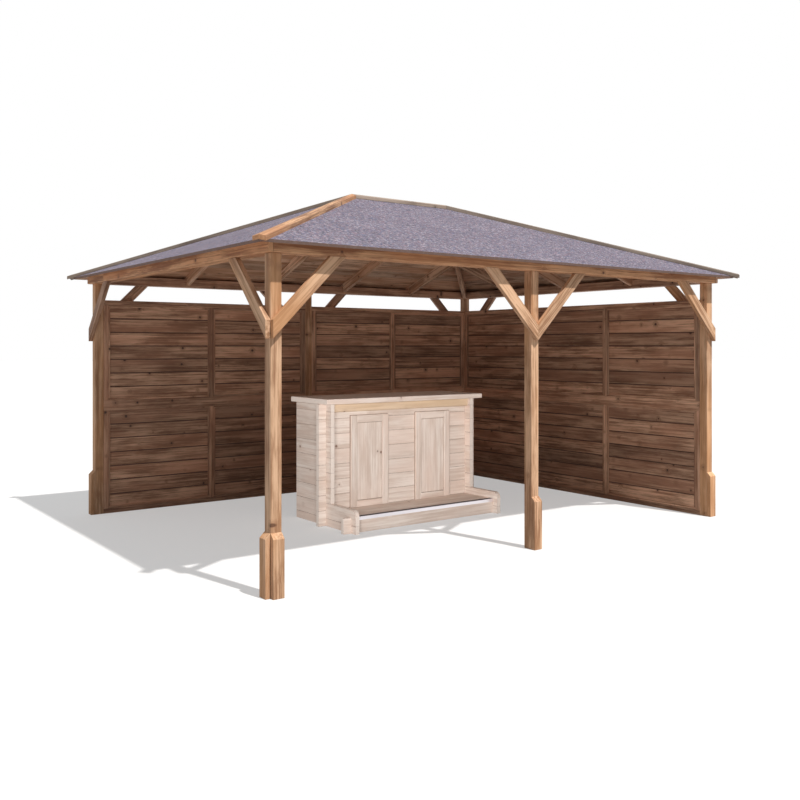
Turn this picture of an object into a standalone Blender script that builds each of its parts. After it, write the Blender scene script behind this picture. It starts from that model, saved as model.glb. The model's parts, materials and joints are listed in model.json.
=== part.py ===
"""Garden gazebo with a hipped felt roof, two panelled walls and a free-standing log bar.

Metres, +Z up. The origin is on the ground at the middle of the six posts. +X runs along the
long side, the open front faces -Y, and the panelled walls close the rear (+Y) and the right (+X).
"""

import math

import bmesh
import bpy
from mathutils import Vector

# Clearance between pieces that touch, and the turn from one facet of a rounding to the next
GAP = 0.0003
FACET = 11.0

# Plan and posts
LENGTH = 4.590
DEPTH = 3.510
POST = 0.080
POST_H = 2.150
POST_CHAMFER = 0.004

# Foot blocks and knee braces, planted on the outer faces of the posts
PLANK_T = 0.036
FOOT_BLOCK_H = 0.408
BRACE_W = 0.084
BRACE_REACH = 0.536

# Beams on the posts: as wide as a post and a plank together
BEAM_H = 0.080
BEAM_CHAMFER = 0.005

# Roof frame
PITCH = math.radians(20.0)
EAVES = 0.127
RAFTER_T = 0.036
RAFTER_H = 0.095
RAFTER_SPACING = 0.920
RAFTER_TAIL = 0.012
HIP_T = 0.040
HIP_H = 0.110
HIP_TAIL = 0.030
RIDGE_T = 0.036
RIDGE_H = 0.130
RIDGE_SETBACK = 0.010

# Roof covering
DECK_T = 0.016
DECK_BOARD = 0.140
DECK_GROOVE = 0.003
FELT_T = 0.003
CAP_W = 0.042
CAP_T = 0.029
CAP_OVERRUN = 0.054

# Walls between the posts
WALL_T = 0.045
WALL_HEADROOM = 0.150
WALL_RAIL = 0.045
WALL_STILE = 0.045
MID_RAIL_LOW = 0.965
MID_RAIL_HIGH = 1.060
WALL_BOARD = 0.124
WALL_BOARD_T = 0.014
WALL_GROOVE = 0.005
WALL_GROOVE_DEEP = 0.004
BEAD_W = 0.018
BEAD_T = 0.012
BEAD_SETBACK = 0.004

# Log bar
BAR_X = -0.020
BAR_FRONT = -0.039
BAR_WIDTH = 1.630
BAR_REAR = 0.478
LOG_T = 0.040
LOG_H = 0.133
LOG_COURSES = 8
LOG_GROOVE = 0.003
LOG_GROOVE_DEEP = 0.002
LOG_NOTCH = 0.25
LOG_END = 0.075
COUNTER_T = 0.045
COUNTER_SIDE = 0.069
COUNTER_SHIFT = 0.012
COUNTER_FRONT = 0.041
COUNTER_CHAMFER = 0.004
APRON_T = 0.042
APRON_H = 0.076
APRON_CHAMFER = 0.010

# Framed panels on the front of the bar
FRAME_W = 0.415
FRAME_TOP = 0.955
FRAME_FIRST = 0.206
FRAME_SPACING = 0.723
FRAME_MEMBER = 0.069
FRAME_BOTTOM_RAIL = 0.056
FRAME_T = 0.022
INSET_T = 0.009

# Foot rest
STEP_REACH = 0.466
STEP_LIP = 0.065
STEP_ROUND = 0.052
STEP_DECK_T = 0.020
STEP_BOARD = 0.132
STEP_GROOVE = 0.003
BEARER_T = 0.040
BEARER_SPACING = 0.380
NOSING_T = 0.0025
NOSING_DROP = 0.028
NOSING_ROUND = 0.006

# Worked out from the sizes above
HALF_X = LENGTH / 2
HALF_Y = DEPTH / 2
BEAM_LOW = POST_H + GAP
BEAM_TOP = BEAM_LOW + BEAM_H
SLOPE = math.tan(PITCH)
RIDGE_HALF = HALF_X - HALF_Y
WALL_H = POST_H - WALL_HEADROOM
COVER = DECK_T + FELT_T + 3 * GAP
BODY_H = LOG_COURSES * LOG_H
BAR_LEFT = BAR_X - BAR_WIDTH / 2
BAR_RIGHT = BAR_X + BAR_WIDTH / 2

# Colours
POST_WOOD = (0.58, 0.35, 0.20)
BEAM_WOOD = (0.51, 0.26, 0.13)
CAP_WOOD = (0.38, 0.18, 0.08)
WALL_WOOD = (0.46, 0.27, 0.17)
BAR_WOOD = (0.76, 0.65, 0.56)
ROOF_WOOD = (0.47, 0.29, 0.18)
FELT = (0.19, 0.175, 0.21)
STEEL = (0.70, 0.70, 0.72)

# Signs along X and Y of the posts' places
CORNERS = {"front_left": (-1, -1), "front_right": (1, -1),
           "rear_left": (-1, 1), "rear_right": (1, 1)}
MIDDLES = {"front_middle": (0, -1), "rear_middle": (0, 1)}
SIDES = {"front": Vector((0, -1, 0)), "right": Vector((1, 0, 0)),
         "rear": Vector((0, 1, 0)), "left": Vector((-1, 0, 0))}
UP = Vector((0, 0, 1))


# Mesh helpers

def clear_scene():
    for old in list(bpy.data.objects):
        bpy.data.objects.remove(old, do_unlink=True)


def material(name, colour, roughness=0.75, metallic=0.0):
    made = bpy.data.materials.new(name)
    made.use_nodes = True
    shader = made.node_tree.nodes["Principled BSDF"]
    shader.inputs["Base Color"].default_value = (*colour, 1.0)
    shader.inputs["Roughness"].default_value = roughness
    shader.inputs["Metallic"].default_value = metallic
    return made


def node(name, solid, look):
    """One named object with its own material, from a closed bmesh."""
    mesh = bpy.data.meshes.new(name)
    solid.to_mesh(mesh)
    solid.free()
    mesh.materials.append(material(name, *look))
    made = bpy.data.objects.new(name, mesh)
    bpy.context.scene.collection.objects.link(made)
    return made


def helper(name, solids):
    """A hidden object that a Boolean reads; its solids stay separate."""
    joined = bmesh.new()
    for solid in solids:
        part = bpy.data.meshes.new("part")
        solid.to_mesh(part)
        solid.free()
        joined.from_mesh(part)
        bpy.data.meshes.remove(part)
    made = node(name, joined, (BEAM_WOOD,))
    made.hide_render = True
    made.display_type = "WIRE"
    return made


def combine(target, other, operation):
    """Join the other object to the target, or cut it out of the target."""
    step = target.modifiers.new(other.name, "BOOLEAN")
    step.operation = operation
    step.solver = "EXACT"
    step.object = other


def prism(outline, place, low, high):
    """A solid: the outline (first two local axes) swept from low to high along the third."""
    solid = bmesh.new()
    rings = [[solid.verts.new(place(a, b, c)) for a, b in outline] for c in (low, high)]
    solid.faces.new(rings[0])
    solid.faces.new(rings[1])
    count = len(outline)
    for i in range(count):
        j = (i + 1) % count
        solid.faces.new((rings[0][i], rings[0][j], rings[1][j], rings[1][i]))
    bmesh.ops.recalc_face_normals(solid, faces=solid.faces)
    return solid


def box(low, high):
    outline = [(low[0], low[1]), (high[0], low[1]), (high[0], high[1]), (low[0], high[1])]
    return prism(outline, lambda x, y, z: Vector((x, y, z)), low[2], high[2])


def trimmed(solid, planes):
    """Cut the solid by planes given as (point, outward normal) and close each cut."""
    for point, normal in planes:
        geometry = solid.verts[:] + solid.edges[:] + solid.faces[:]
        bmesh.ops.bisect_plane(solid, geom=geometry, plane_co=point, plane_no=normal,
                               dist=1e-6, clear_outer=True)
        rim = [edge for edge in solid.edges if edge.is_boundary]
        bmesh.ops.holes_fill(solid, edges=rim, sides=0)
    bmesh.ops.recalc_face_normals(solid, faces=solid.faces)
    return solid


def relief(columns, rows, span_of, place):
    """A solid of grid cells, each with its own span along the third axis.

    span_of(column, row) gives a cell's (near, far), or None where the grid is open.
    """
    solid = bmesh.new()
    cells = {}
    for i in range(len(columns) - 1):
        for j in range(len(rows) - 1):
            span = span_of(i, j)
            if span:
                cells[i, j] = span
    levels = {}
    for (i, j), span in cells.items():
        for corner in ((i, j), (i + 1, j), (i + 1, j + 1), (i, j + 1)):
            levels.setdefault(corner, set()).update(span)
    made = {}

    def vert(corner, depth):
        if (corner, depth) not in made:
            made[corner, depth] = solid.verts.new(place(columns[corner[0]], rows[corner[1]], depth))
        return made[corner, depth]

    def side(one, two, low, high):
        if low < high:
            there = [vert(one, d) for d in sorted(levels[one]) if low <= d <= high]
            back = [vert(two, d) for d in sorted(levels[two], reverse=True) if low <= d <= high]
            solid.faces.new(there + back)

    for (i, j), (near, far) in cells.items():
        loop = ((i, j), (i + 1, j), (i + 1, j + 1), (i, j + 1))
        solid.faces.new([vert(corner, near) for corner in loop])
        solid.faces.new([vert(corner, far) for corner in loop])
        neighbours = ((i, j - 1), (i + 1, j), (i, j + 1), (i - 1, j))
        for k, neighbour in enumerate(neighbours):
            one, two = loop[k], loop[(k + 1) % 4]
            if neighbour in cells:
                side(one, two, near, cells[neighbour][0])
                side(one, two, cells[neighbour][1], far)
            else:
                side(one, two, near, far)
    bmesh.ops.recalc_face_normals(solid, faces=solid.faces)
    return solid


def chamfered_rectangle(half_a, half_b, chamfer):
    a, b, c = half_a, half_b, chamfer
    return [(-a + c, -b), (a - c, -b), (a, -b + c), (a, b - c),
            (a - c, b), (-a + c, b), (-a, b - c), (-a, -b + c)]


def arc(centre, radius, first, last):
    """Points on a circle between two angles in degrees."""
    steps = max(2, round(abs(last - first) / FACET))
    angles = [math.radians(first + (last - first) * k / steps) for k in range(steps + 1)]
    return [(centre[0] + radius * math.cos(t), centre[1] + radius * math.sin(t)) for t in angles]


def share(length, size):
    """How many pieces of about this size fill the length."""
    return max(1, round(length / size))


def along_x(y, z, x):
    return Vector((x, y, z))


def along_y(x, z, y):
    return Vector((x, y, z))


# Posts, foot blocks and braces

def outer_sides(spot):
    sides = ["front" if spot[1] < 0 else "rear"]
    if spot[0]:
        sides.append("left" if spot[0] < 0 else "right")
    return sides


def post_centre(spot):
    return Vector((spot[0] * (HALF_X - POST / 2), spot[1] * (HALF_Y - POST / 2), 0))


def on_outer_face(spot, side, flip=1):
    """Placement on a post's outer face: a along the wall, b up, c out from the face.

    a is zero on the post's outer edge at a corner, or on its centre line at a middle post, and
    grows towards the rest of the wall.
    """
    outward = SIDES[side]
    inward = Vector((-spot[0], -spot[1], 0)) * Vector((abs(outward.y), abs(outward.x), 0))
    origin = post_centre(spot) + outward * (POST / 2)
    if spot[0] == 0:
        inward = Vector((flip, 0, 0))
    else:
        origin -= inward * (POST / 2)
    return lambda a, b, c: origin + inward * a + UP * b + outward * c


def make_post(spot):
    centre = post_centre(spot)
    outline = chamfered_rectangle(POST / 2, POST / 2, POST_CHAMFER)
    return prism(outline, lambda x, y, z: centre + Vector((x, y, z)), 0.0, POST_H)


def make_foot_block(spot, side):
    """A plank on the post's foot, its top cut back to the post at 45 degrees."""
    start = -POST / 2 if spot[0] == 0 else 0.0
    face = on_outer_face(spot, side)
    shoulder = FOOT_BLOCK_H - PLANK_T
    outline = [(GAP, 0.0), (PLANK_T, 0.0), (PLANK_T, shoulder), (GAP, FOOT_BLOCK_H - GAP)]
    return prism(outline, lambda c, b, a: face(a, b, c), start, start + POST)


def make_brace(spot, side, flip=1):
    """A 45 degree knee brace, cut upright at the post's edge and level under the beam."""
    cut = BRACE_W * math.sqrt(2)
    start = GAP / 2 if spot[0] == 0 else 0.0
    low = POST_H - BRACE_REACH + start
    outline = [(start, low), (BRACE_REACH, POST_H), (BRACE_REACH - cut, POST_H), (start, low + cut)]
    return prism(outline, on_outer_face(spot, side, flip), GAP, PLANK_T)


def build_posts():
    for name, spot in {**CORNERS, **MIDDLES}.items():
        node("post_" + name, make_post(spot), (POST_WOOD,))
        for side in outer_sides(spot):
            ending = name if spot[0] == 0 else name + "_on_" + side
            node("foot_block_" + ending, make_foot_block(spot, side), (POST_WOOD,))
            if spot[0]:
                node("brace_" + ending, make_brace(spot, side), (POST_WOOD,))
            else:
                node("brace_" + name + "_to_left", make_brace(spot, side, -1), (POST_WOOD,))
                node("brace_" + name + "_to_right", make_brace(spot, side, 1), (POST_WOOD,))


# Beams

def build_beams():
    """Beams over the posts and braces, half-lapped over the corner posts.

    The side beams run past the front and rear ones, which stop against their outer planks.
    """
    lap = BEAM_LOW + BEAM_H / 2
    rows = [-POST, 0.0, PLANK_T]
    for name, outward in SIDES.items():
        along = UP.cross(outward)
        long = name in ("front", "rear")
        half, end = (HALF_Y, HALF_X) if long else (HALF_X, HALF_Y)
        past = [] if long else [end + PLANK_T]
        steps = [end - POST - GAP, end - GAP] + past
        columns = [-a for a in steps[::-1]] + steps

        def span_of(i, j):
            corner = min(i, len(columns) - 2 - i)
            if j == 1 or corner > len(past):
                return BEAM_LOW, BEAM_TOP
            if long:
                return BEAM_LOW, lap - GAP
            return (lap, BEAM_TOP) if corner == 1 else None

        place = lambda a, o, z: outward * (half + o) + along * a + UP * z
        beam = relief(columns, rows, span_of, place)
        arris = outward * (half + PLANK_T - BEAM_CHAMFER / 2) + UP * (BEAM_LOW + BEAM_CHAMFER / 2)
        node("beam_" + name, trimmed(beam, [(arris, (outward - UP).normalized())]), (BEAM_WOOD,))


# Roof

def roof_z(inset):
    """Height of the rafters' upper face, at a distance in from the posts' outer faces."""
    return BEAM_TOP + (inset + PLANK_T) * SLOPE


class Slope:
    """One of the four roof slopes: a runs along the eaves, v up the slope, w out of it."""

    def __init__(self, side):
        self.outward = SIDES[side]
        self.along = UP.cross(self.outward)
        self.long = side in ("front", "rear")
        self.half = HALF_Y if self.long else HALF_X
        self.half_along = HALF_X if self.long else HALF_Y
        self.up = -self.outward * math.cos(PITCH) + UP * math.sin(PITCH)
        self.normal = self.outward * math.sin(PITCH) + UP * math.cos(PITCH)
        self.base = self.outward * (self.half + EAVES) + UP * roof_z(-EAVES)
        self.length = (HALF_Y + EAVES) / math.cos(PITCH)

    def place(self, v, w, a):
        return self.base + self.along * a + self.up * v + self.normal * w

    def bounds(self, off_hip, off_ridge):
        """Upright planes along the two hips and the ridge, at distances on the slope's side."""
        planes = []
        for sign in (-1, 1):
            normal = (self.along * sign - self.outward).normalized()
            reach = sign * (self.half_along + EAVES)
            corner = self.outward * (self.half + EAVES) + self.along * reach
            planes.append((corner - normal * off_hip, normal))
        if self.long:
            planes.append((self.outward * off_ridge, -self.outward))
        return planes


def make_rafters(slope):
    """Common and jack rafters, notched over the beam and cut to the hips or the ridge beam."""
    count = share(2 * slope.half_along, RAFTER_SPACING) - 1
    spacing = 2 * slope.half_along / (count + 1)
    upright = RAFTER_H / math.cos(PITCH)
    lift = (GAP + DECK_T / 2) / math.cos(PITCH)
    heel = POST + GAP
    seat = BEAM_TOP + GAP
    top = HALF_Y
    outline = [(heel, roof_z(heel) - upright), (heel, seat), (RAFTER_TAIL, seat),
               (RAFTER_TAIL, roof_z(RAFTER_TAIL) + lift), (top, roof_z(top) + lift),
               (top, roof_z(top) - upright)]
    place = lambda inset, z, a: slope.outward * (slope.half - inset) + slope.along * a + UP * z
    cuts = slope.bounds(HIP_T / 2 + GAP, RIDGE_T / 2 + GAP)
    rafters = []
    for k in range(count):
        middle = -slope.half_along + spacing * (k + 1)
        rafter = prism(outline, place, middle - RAFTER_T / 2, middle + RAFTER_T / 2)
        rafters.append(trimmed(rafter, cuts))
    return rafters


def make_deck(slope):
    """Roof boards parallel to the eaves, with grooves between them underneath."""
    count = share(slope.length, DECK_BOARD)
    width = slope.length / count
    reach = slope.half_along + EAVES + DECK_T
    g = DECK_GROOVE
    outline = [(0.0, GAP)]
    for k in range(1, count):
        v = width * k
        outline += [(v - g, GAP), (v, GAP + g), (v + g, GAP)]
    past = slope.length + DECK_T
    outline += [(past, GAP), (past, GAP + DECK_T), (0.0, GAP + DECK_T)]
    return trimmed(prism(outline, slope.place, -reach, reach), slope.bounds(GAP / 2, GAP / 2))


def build_roof_sections():
    """Each slope is one section: its boards nailed to its rafters."""
    for name in SIDES:
        slope = Slope(name)
        section = node("roof_section_" + name, make_deck(slope), (ROOF_WOOD,))
        combine(section, helper("rafters_" + name, make_rafters(slope)), "UNION")


def ridge_end():
    """Where the hip rafters butt on the end of the ridge beam, short of the peak."""
    return RIDGE_HALF - RIDGE_SETBACK


def build_hips_and_ridge():
    """Hip rafters from the beams' corners to the ends of the ridge beam."""
    slope = SLOPE / math.sqrt(2)
    drop = HIP_T / 2 * slope + GAP
    upright = HIP_H * math.sqrt(1 + slope ** 2)
    top_at = lambda s: roof_z(s / math.sqrt(2)) - drop
    heel = POST * math.sqrt(2) + HIP_T / 2 + 2 * GAP
    seat = BEAM_TOP + GAP
    end = HALF_Y * math.sqrt(2) + HIP_T
    outline = [(heel, top_at(heel) - upright), (heel, seat), (HIP_TAIL, seat),
               (HIP_TAIL, top_at(HIP_TAIL)), (end, top_at(end)), (end, top_at(end) - upright)]
    for name, (sx, sy) in CORNERS.items():
        corner = Vector((sx * HALF_X, sy * HALF_Y, 0))
        inward = Vector((-sx, -sy, 0)).normalized()
        across = UP.cross(inward)
        place = lambda s, z, c: corner + inward * s + across * c + UP * z
        cuts = [(Vector((0, sy * GAP / 2, 0)), Vector((0, -sy, 0))),
                (Vector((sx * ridge_end(), 0, 0)), Vector((-sx, 0, 0)))]
        rafter = prism(outline, place, -HIP_T / 2, HIP_T / 2)
        node("hip_rafter_" + name, trimmed(rafter, cuts), (ROOF_WOOD,))
    top = roof_z(HALF_Y) - RIDGE_T / 2 * SLOPE - GAP
    x = ridge_end() - GAP
    node("ridge_beam", box((-x, -RIDGE_T / 2, top - RIDGE_H), (x, RIDGE_T / 2, top)), (ROOF_WOOD,))


def build_felt():
    """One felt skin over the four slopes, turned down over the boards' lower edges."""
    top = GAP + DECK_T + GAP + FELT_T
    under = top - FELT_T
    edge = -GAP - FELT_T
    felt = bmesh.new()

    def at_ridge(w):
        """The ends of the ridge, each counted for two corners of a ring."""
        z = roof_z(HALF_Y) + w / math.cos(PITCH)
        left, right = [felt.verts.new((x, 0.0, z)) for x in (-RIDGE_HALF, RIDGE_HALF)]
        return [left, right, right, left]

    def at_eaves(v, w):
        """A ring of four corners, at v up the slope and w out of it."""
        out = EAVES - v * math.cos(PITCH) + w * math.sin(PITCH)
        z = roof_z(-EAVES) + v * math.sin(PITCH) + w * math.cos(PITCH)
        x = HALF_X + out
        y = HALF_Y + out
        corners = ((-x, -y, z), (x, -y, z), (x, y, z), (-x, y, z))
        return [felt.verts.new(corner) for corner in corners]

    rings = [at_ridge(top), at_eaves(edge, top), at_eaves(edge, 0.0), at_eaves(-GAP, 0.0),
             at_eaves(-GAP, under), at_ridge(under)]
    for one, two in zip(rings, rings[1:]):
        for k in range(4):
            n = (k + 1) % 4
            felt.faces.new(list(dict.fromkeys((one[k], one[n], two[n], two[k]))))
    bmesh.ops.recalc_face_normals(felt, faces=felt.faces)
    node("roof_felt", felt, (FELT, 0.95))


def cap_outline(fall):
    """Section of a cap of two boards that lie on slopes falling away on both sides."""
    low = COVER / math.cos(PITCH)
    high = low + CAP_T / math.cos(PITCH)
    edge = CAP_W * fall
    return [(-CAP_W, low - edge), (0.0, low), (CAP_W, low - edge),
            (CAP_W, high - edge), (0.0, high), (-CAP_W, high - edge)]


def build_caps():
    """Caps of two boards along the hips and the ridge, mitred where they meet at the peaks."""
    hip_fall = SLOPE / math.sqrt(2)
    peak_s = (HALF_Y + EAVES) * math.sqrt(2)
    ridge_cuts = []
    for name, (sx, sy) in CORNERS.items():
        corner = Vector((sx * (HALF_X + EAVES), sy * (HALF_Y + EAVES), 0))
        inward = Vector((-sx, -sy, 0)).normalized()
        across = UP.cross(inward)
        arris = inward + UP * hip_fall
        place = lambda c, z, s: corner + arris * s + across * c + UP * (z + roof_z(-EAVES))
        peak = Vector((sx * RIDGE_HALF, 0, 0))
        bisector = (Vector((-sx, 0, 0)) - inward).normalized()
        normal = bisector.cross(UP)
        normal *= math.copysign(1, normal.dot(-inward))
        cuts = [(Vector((0, sy * GAP / 2, 0)), Vector((0, -sy, 0))),
                (peak + normal * GAP / 2, -normal)]
        ridge_cuts.append((peak - normal * GAP / 2, normal))
        cap = prism(cap_outline(hip_fall), place, -CAP_OVERRUN, peak_s + 2 * CAP_W)
        node("hip_cap_" + name, trimmed(cap, cuts), (CAP_WOOD,))
    reach = RIDGE_HALF + 2 * CAP_W
    place = lambda y, z, x: Vector((x, y, z + roof_z(HALF_Y)))
    cap = prism(cap_outline(SLOPE), place, -reach, reach)
    node("ridge_cap", trimmed(cap, ridge_cuts), (CAP_WOOD,))


# Panelled walls

def field_rows(low, high):
    """Heights between the parts of a field, each with what lies above it."""
    count = share(high - low, WALL_BOARD)
    step = (high - low) / count
    rows = [(low, "bead"), (low + BEAD_W, "board")]
    for k in range(1, count):
        joint = low + step * k
        rows += [(joint - WALL_GROOVE / 2, "groove"), (joint + WALL_GROOVE / 2, "board")]
    rows.append((high - BEAD_W, "bead"))
    return rows


def build_wall(name, start, along, outward, length, fields):
    """A framed wall: rails and stiles round boarded fields, with a bead round each field."""
    rows = [(0.0, "rail")] + field_rows(WALL_RAIL, MID_RAIL_LOW) + [(MID_RAIL_LOW, "rail")]
    rows += field_rows(MID_RAIL_HIGH, WALL_H - WALL_RAIL)
    rows += [(WALL_H - WALL_RAIL, "rail"), (WALL_H, "end")]
    pitch = (length - WALL_STILE) / fields
    columns = []
    for k in range(fields):
        left = pitch * k + WALL_STILE
        right = pitch * (k + 1)
        columns += [(left - WALL_STILE, "stile"), (left, "bead"), (left + BEAD_W, "board"),
                    (right - BEAD_W, "bead")]
    columns += [(length - WALL_STILE, "stile"), (length, "end")]
    board_near = BEAD_SETBACK + BEAD_T
    board_far = board_near + WALL_BOARD_T

    def span_of(i, j):
        kinds = (columns[i][1], rows[j][1])
        if "stile" in kinds or "rail" in kinds:
            return 0.0, WALL_T
        if "bead" in kinds:
            return BEAD_SETBACK, board_far
        if "groove" in kinds:
            return board_near + WALL_GROOVE_DEEP, board_far - WALL_GROOVE_DEEP / 2
        return board_near, board_far

    place = lambda a, z, d: start + along * a + outward * d + UP * z
    solid = relief([a for a, _ in columns], [z for z, _ in rows], span_of, place)
    node("wall_" + name, solid, (WALL_WOOD,))


def build_walls():
    inner_x = HALF_X - POST
    inner_y = HALF_Y - POST
    bay = inner_x - POST / 2 - 2 * GAP
    ahead = Vector((1, 0, 0))
    back = Vector((0, 1, 0))
    build_wall("rear_left", Vector((-inner_x + GAP, inner_y, 0)), ahead, back, bay, 2)
    build_wall("rear_right", Vector((POST / 2 + GAP, inner_y, 0)), ahead, back, bay, 2)
    build_wall("right", Vector((inner_x, -inner_y + GAP, 0)), back, ahead, 2 * (inner_y - GAP), 3)


# Log bar

def step_line():
    """Front face of the foot rest's board."""
    return BAR_FRONT - STEP_REACH + STEP_LIP


def inner_sides():
    """The faces of the side walls that look at each other, with their clearances."""
    return BAR_LEFT + LOG_T + GAP, BAR_RIGHT - LOG_T - GAP


def course_rows(offset):
    """Heights between the parts of a log wall, from half-lapped corners and course joints.

    Joints lie at the offset (0 or 0.5 course) from whole courses. At a corner each log is notched
    above and below, and its tongue fills what is left.
    """
    notch = LOG_H * LOG_NOTCH + GAP / 2
    heights = {0.0, BODY_H}
    for k in range(LOG_COURSES + 1):
        joint = (k + offset) * LOG_H
        for z in (joint - LOG_GROOVE / 2, joint + LOG_GROOVE / 2, joint + notch, joint - notch):
            if 0.0 < z < BODY_H:
                heights.add(z)
    return sorted(heights)


def in_tongue(z, offset):
    """Whether the height lies in the middle of a course, where a log crosses another wall."""
    return LOG_NOTCH < (z / LOG_H - offset) % 1.0 < 1.0 - LOG_NOTCH


def in_joint(z, offset):
    """Whether the height lies in the groove between two courses."""
    part = (z / LOG_H - offset) % 1.0
    return 0.0 < z < BODY_H and min(part, 1.0 - part) * LOG_H < LOG_GROOVE / 2


def log_span(z, offset):
    return (LOG_GROOVE_DEEP, LOG_T - LOG_GROOVE_DEEP) if in_joint(z, offset) else (0.0, LOG_T)


def build_front_logs():
    half = LOG_T / 2 + GAP
    left = BAR_LEFT + LOG_T / 2
    right = BAR_RIGHT - LOG_T / 2
    columns = [BAR_LEFT - LOG_END, left - half, left + half,
               right - half, right + half, BAR_RIGHT + LOG_END]
    rows = course_rows(0.0)

    def span_of(i, j):
        z = (rows[j] + rows[j + 1]) / 2
        if i in (1, 3) and not in_tongue(z, 0.0):
            return None
        return log_span(z, 0.0)

    place = lambda x, z, d: Vector((x, BAR_FRONT + d, z))
    node("bar_front_wall", relief(columns, rows, span_of, place), (BAR_WOOD,))


def build_side_logs():
    """Side walls half a course off the front one; their lowest logs run on under the foot rest."""
    half = LOG_T / 2 + GAP
    step = step_line() + LOG_T / 2
    wall = BAR_FRONT + LOG_T / 2
    front = BAR_FRONT - STEP_REACH
    columns = [front, step - half, step + half,
               BAR_FRONT - LOG_END, wall - half, wall + half, BAR_REAR]
    rows = course_rows(0.5)
    bracket_top = LOG_H * 1.5 - LOG_GROOVE / 2

    def span_of(i, j):
        z = (rows[j] + rows[j + 1]) / 2
        if i < 3 and z > bracket_top:
            return None
        if i == 1 and z < LOG_H and in_tongue(z, 0.0):
            return None
        if i == 4 and not in_tongue(z, 0.5):
            return None
        return log_span(z, 0.5)

    r = STEP_ROUND
    beyond = LOG_T / 2
    outline = arc((front + r, bracket_top - r), r, 180, 90)
    outline += [(front + r, bracket_top + beyond), (front - beyond, bracket_top + beyond),
                (front - beyond, bracket_top - r)]
    for name, near in (("left", BAR_LEFT), ("right", BAR_RIGHT - LOG_T)):
        place = lambda y, z, d: Vector((near + d, y, z))
        side_wall = node("bar_side_wall_" + name, relief(columns, rows, span_of, place), (BAR_WOOD,))
        rounding = prism(outline, along_x, near - beyond, near + LOG_T + beyond)
        combine(side_wall, helper("rounding_" + name, [rounding]), "DIFFERENCE")


def build_step_board():
    """The foot rest's front board, a log notched over the side walls' lowest logs."""
    half = LOG_T / 2 + GAP
    deep = LOG_H * LOG_NOTCH + GAP / 2
    high = LOG_H - GAP
    crossings = (BAR_LEFT + LOG_T / 2, BAR_RIGHT - LOG_T / 2)
    start = BAR_LEFT - LOG_END
    end = BAR_RIGHT + LOG_END
    lower = [(start, 0.0)]
    upper = [(start, high)]
    for middle in crossings:
        left = middle - half
        right = middle + half
        lower += [(left, 0.0), (left, deep), (right, deep), (right, 0.0)]
        upper += [(left, high), (left, LOG_H - deep), (right, LOG_H - deep), (right, high)]
    outline = lower + [(end, 0.0), (end, high)] + upper[::-1]
    board = prism(outline, along_y, step_line(), step_line() + LOG_T)
    bevel = NOSING_ROUND - NOSING_T + GAP
    arris = Vector((0, step_line() + bevel / 2, high - bevel / 2))
    cuts = [(Vector((BAR_RIGHT, 0, 0)), Vector((1, 0, 0))),
            (arris, Vector((0, -1, 1)).normalized())]
    node("step_board", trimmed(board, cuts), (BAR_WOOD,))


def build_step_deck():
    """Deck boards with their bearers, behind the step board."""
    left, right = inner_sides()
    near = step_line() + LOG_T + GAP
    far = BAR_FRONT - GAP
    top = LOG_H - GAP
    bearers = share(right - left - BEARER_T, BEARER_SPACING) + 1
    spacing = (right - left - BEARER_T) / (bearers - 1)
    columns = []
    for k in range(bearers):
        columns += [left + spacing * k, left + spacing * k + BEARER_T]
    count = share(far - near, STEP_BOARD)
    width = (far - near) / count
    rows = [near]
    for k in range(1, count):
        rows += [near + width * k - STEP_GROOVE / 2, near + width * k + STEP_GROOVE / 2]
    rows.append(far)

    def span_of(i, j):
        low = 0.0 if i % 2 == 0 else top - STEP_DECK_T
        high = top - STEP_GROOVE if j % 2 else top
        return low, high

    node("step_deck", relief(columns, rows, span_of, lambda x, y, z: Vector((x, y, z))), (BAR_WOOD,))


def build_step_nosing():
    """Folded steel angle over the step board's front edge, rounded outside."""
    inner_y = step_line() - GAP
    inner_z = LOG_H
    outer_y = inner_y - NOSING_T
    outer_z = inner_z + NOSING_T
    bevel = NOSING_ROUND - NOSING_T
    rear_y = step_line() + LOG_T
    outline = arc((outer_y + NOSING_ROUND, outer_z - NOSING_ROUND), NOSING_ROUND, 90, 180)
    low = inner_z - NOSING_DROP
    outline += [(outer_y, low), (inner_y, low), (inner_y, inner_z - bevel),
                (inner_y + bevel, inner_z), (rear_y, inner_z), (rear_y, outer_z)]
    left, right = inner_sides()
    node("step_nosing", prism(outline, along_x, left, right), (STEEL, 0.25, 1.0))


def build_counter():
    """The counter top and the apron under its front, between the side walls."""
    half_x = BAR_WIDTH / 2 + COUNTER_SIDE
    front = BAR_FRONT - LOG_END - COUNTER_FRONT
    centre = Vector((BAR_X + COUNTER_SHIFT, (front + BAR_REAR) / 2, BODY_H + GAP + COUNTER_T / 2))
    outline = chamfered_rectangle((BAR_REAR - front) / 2, COUNTER_T / 2, COUNTER_CHAMFER)
    place = lambda y, z, x: centre + Vector((x, y, z))
    node("counter_top", prism(outline, place, -half_x, half_x), (BAR_WOOD,))
    left, right = inner_sides()
    near = BAR_FRONT - GAP - APRON_T
    low = BODY_H - APRON_H
    c = APRON_CHAMFER
    rear = BAR_FRONT - GAP
    outline = [(near + c, low), (rear, low), (rear, BODY_H), (near, BODY_H), (near, low + c)]
    node("counter_apron", prism(outline, along_x, left, right), (BAR_WOOD,))


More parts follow.
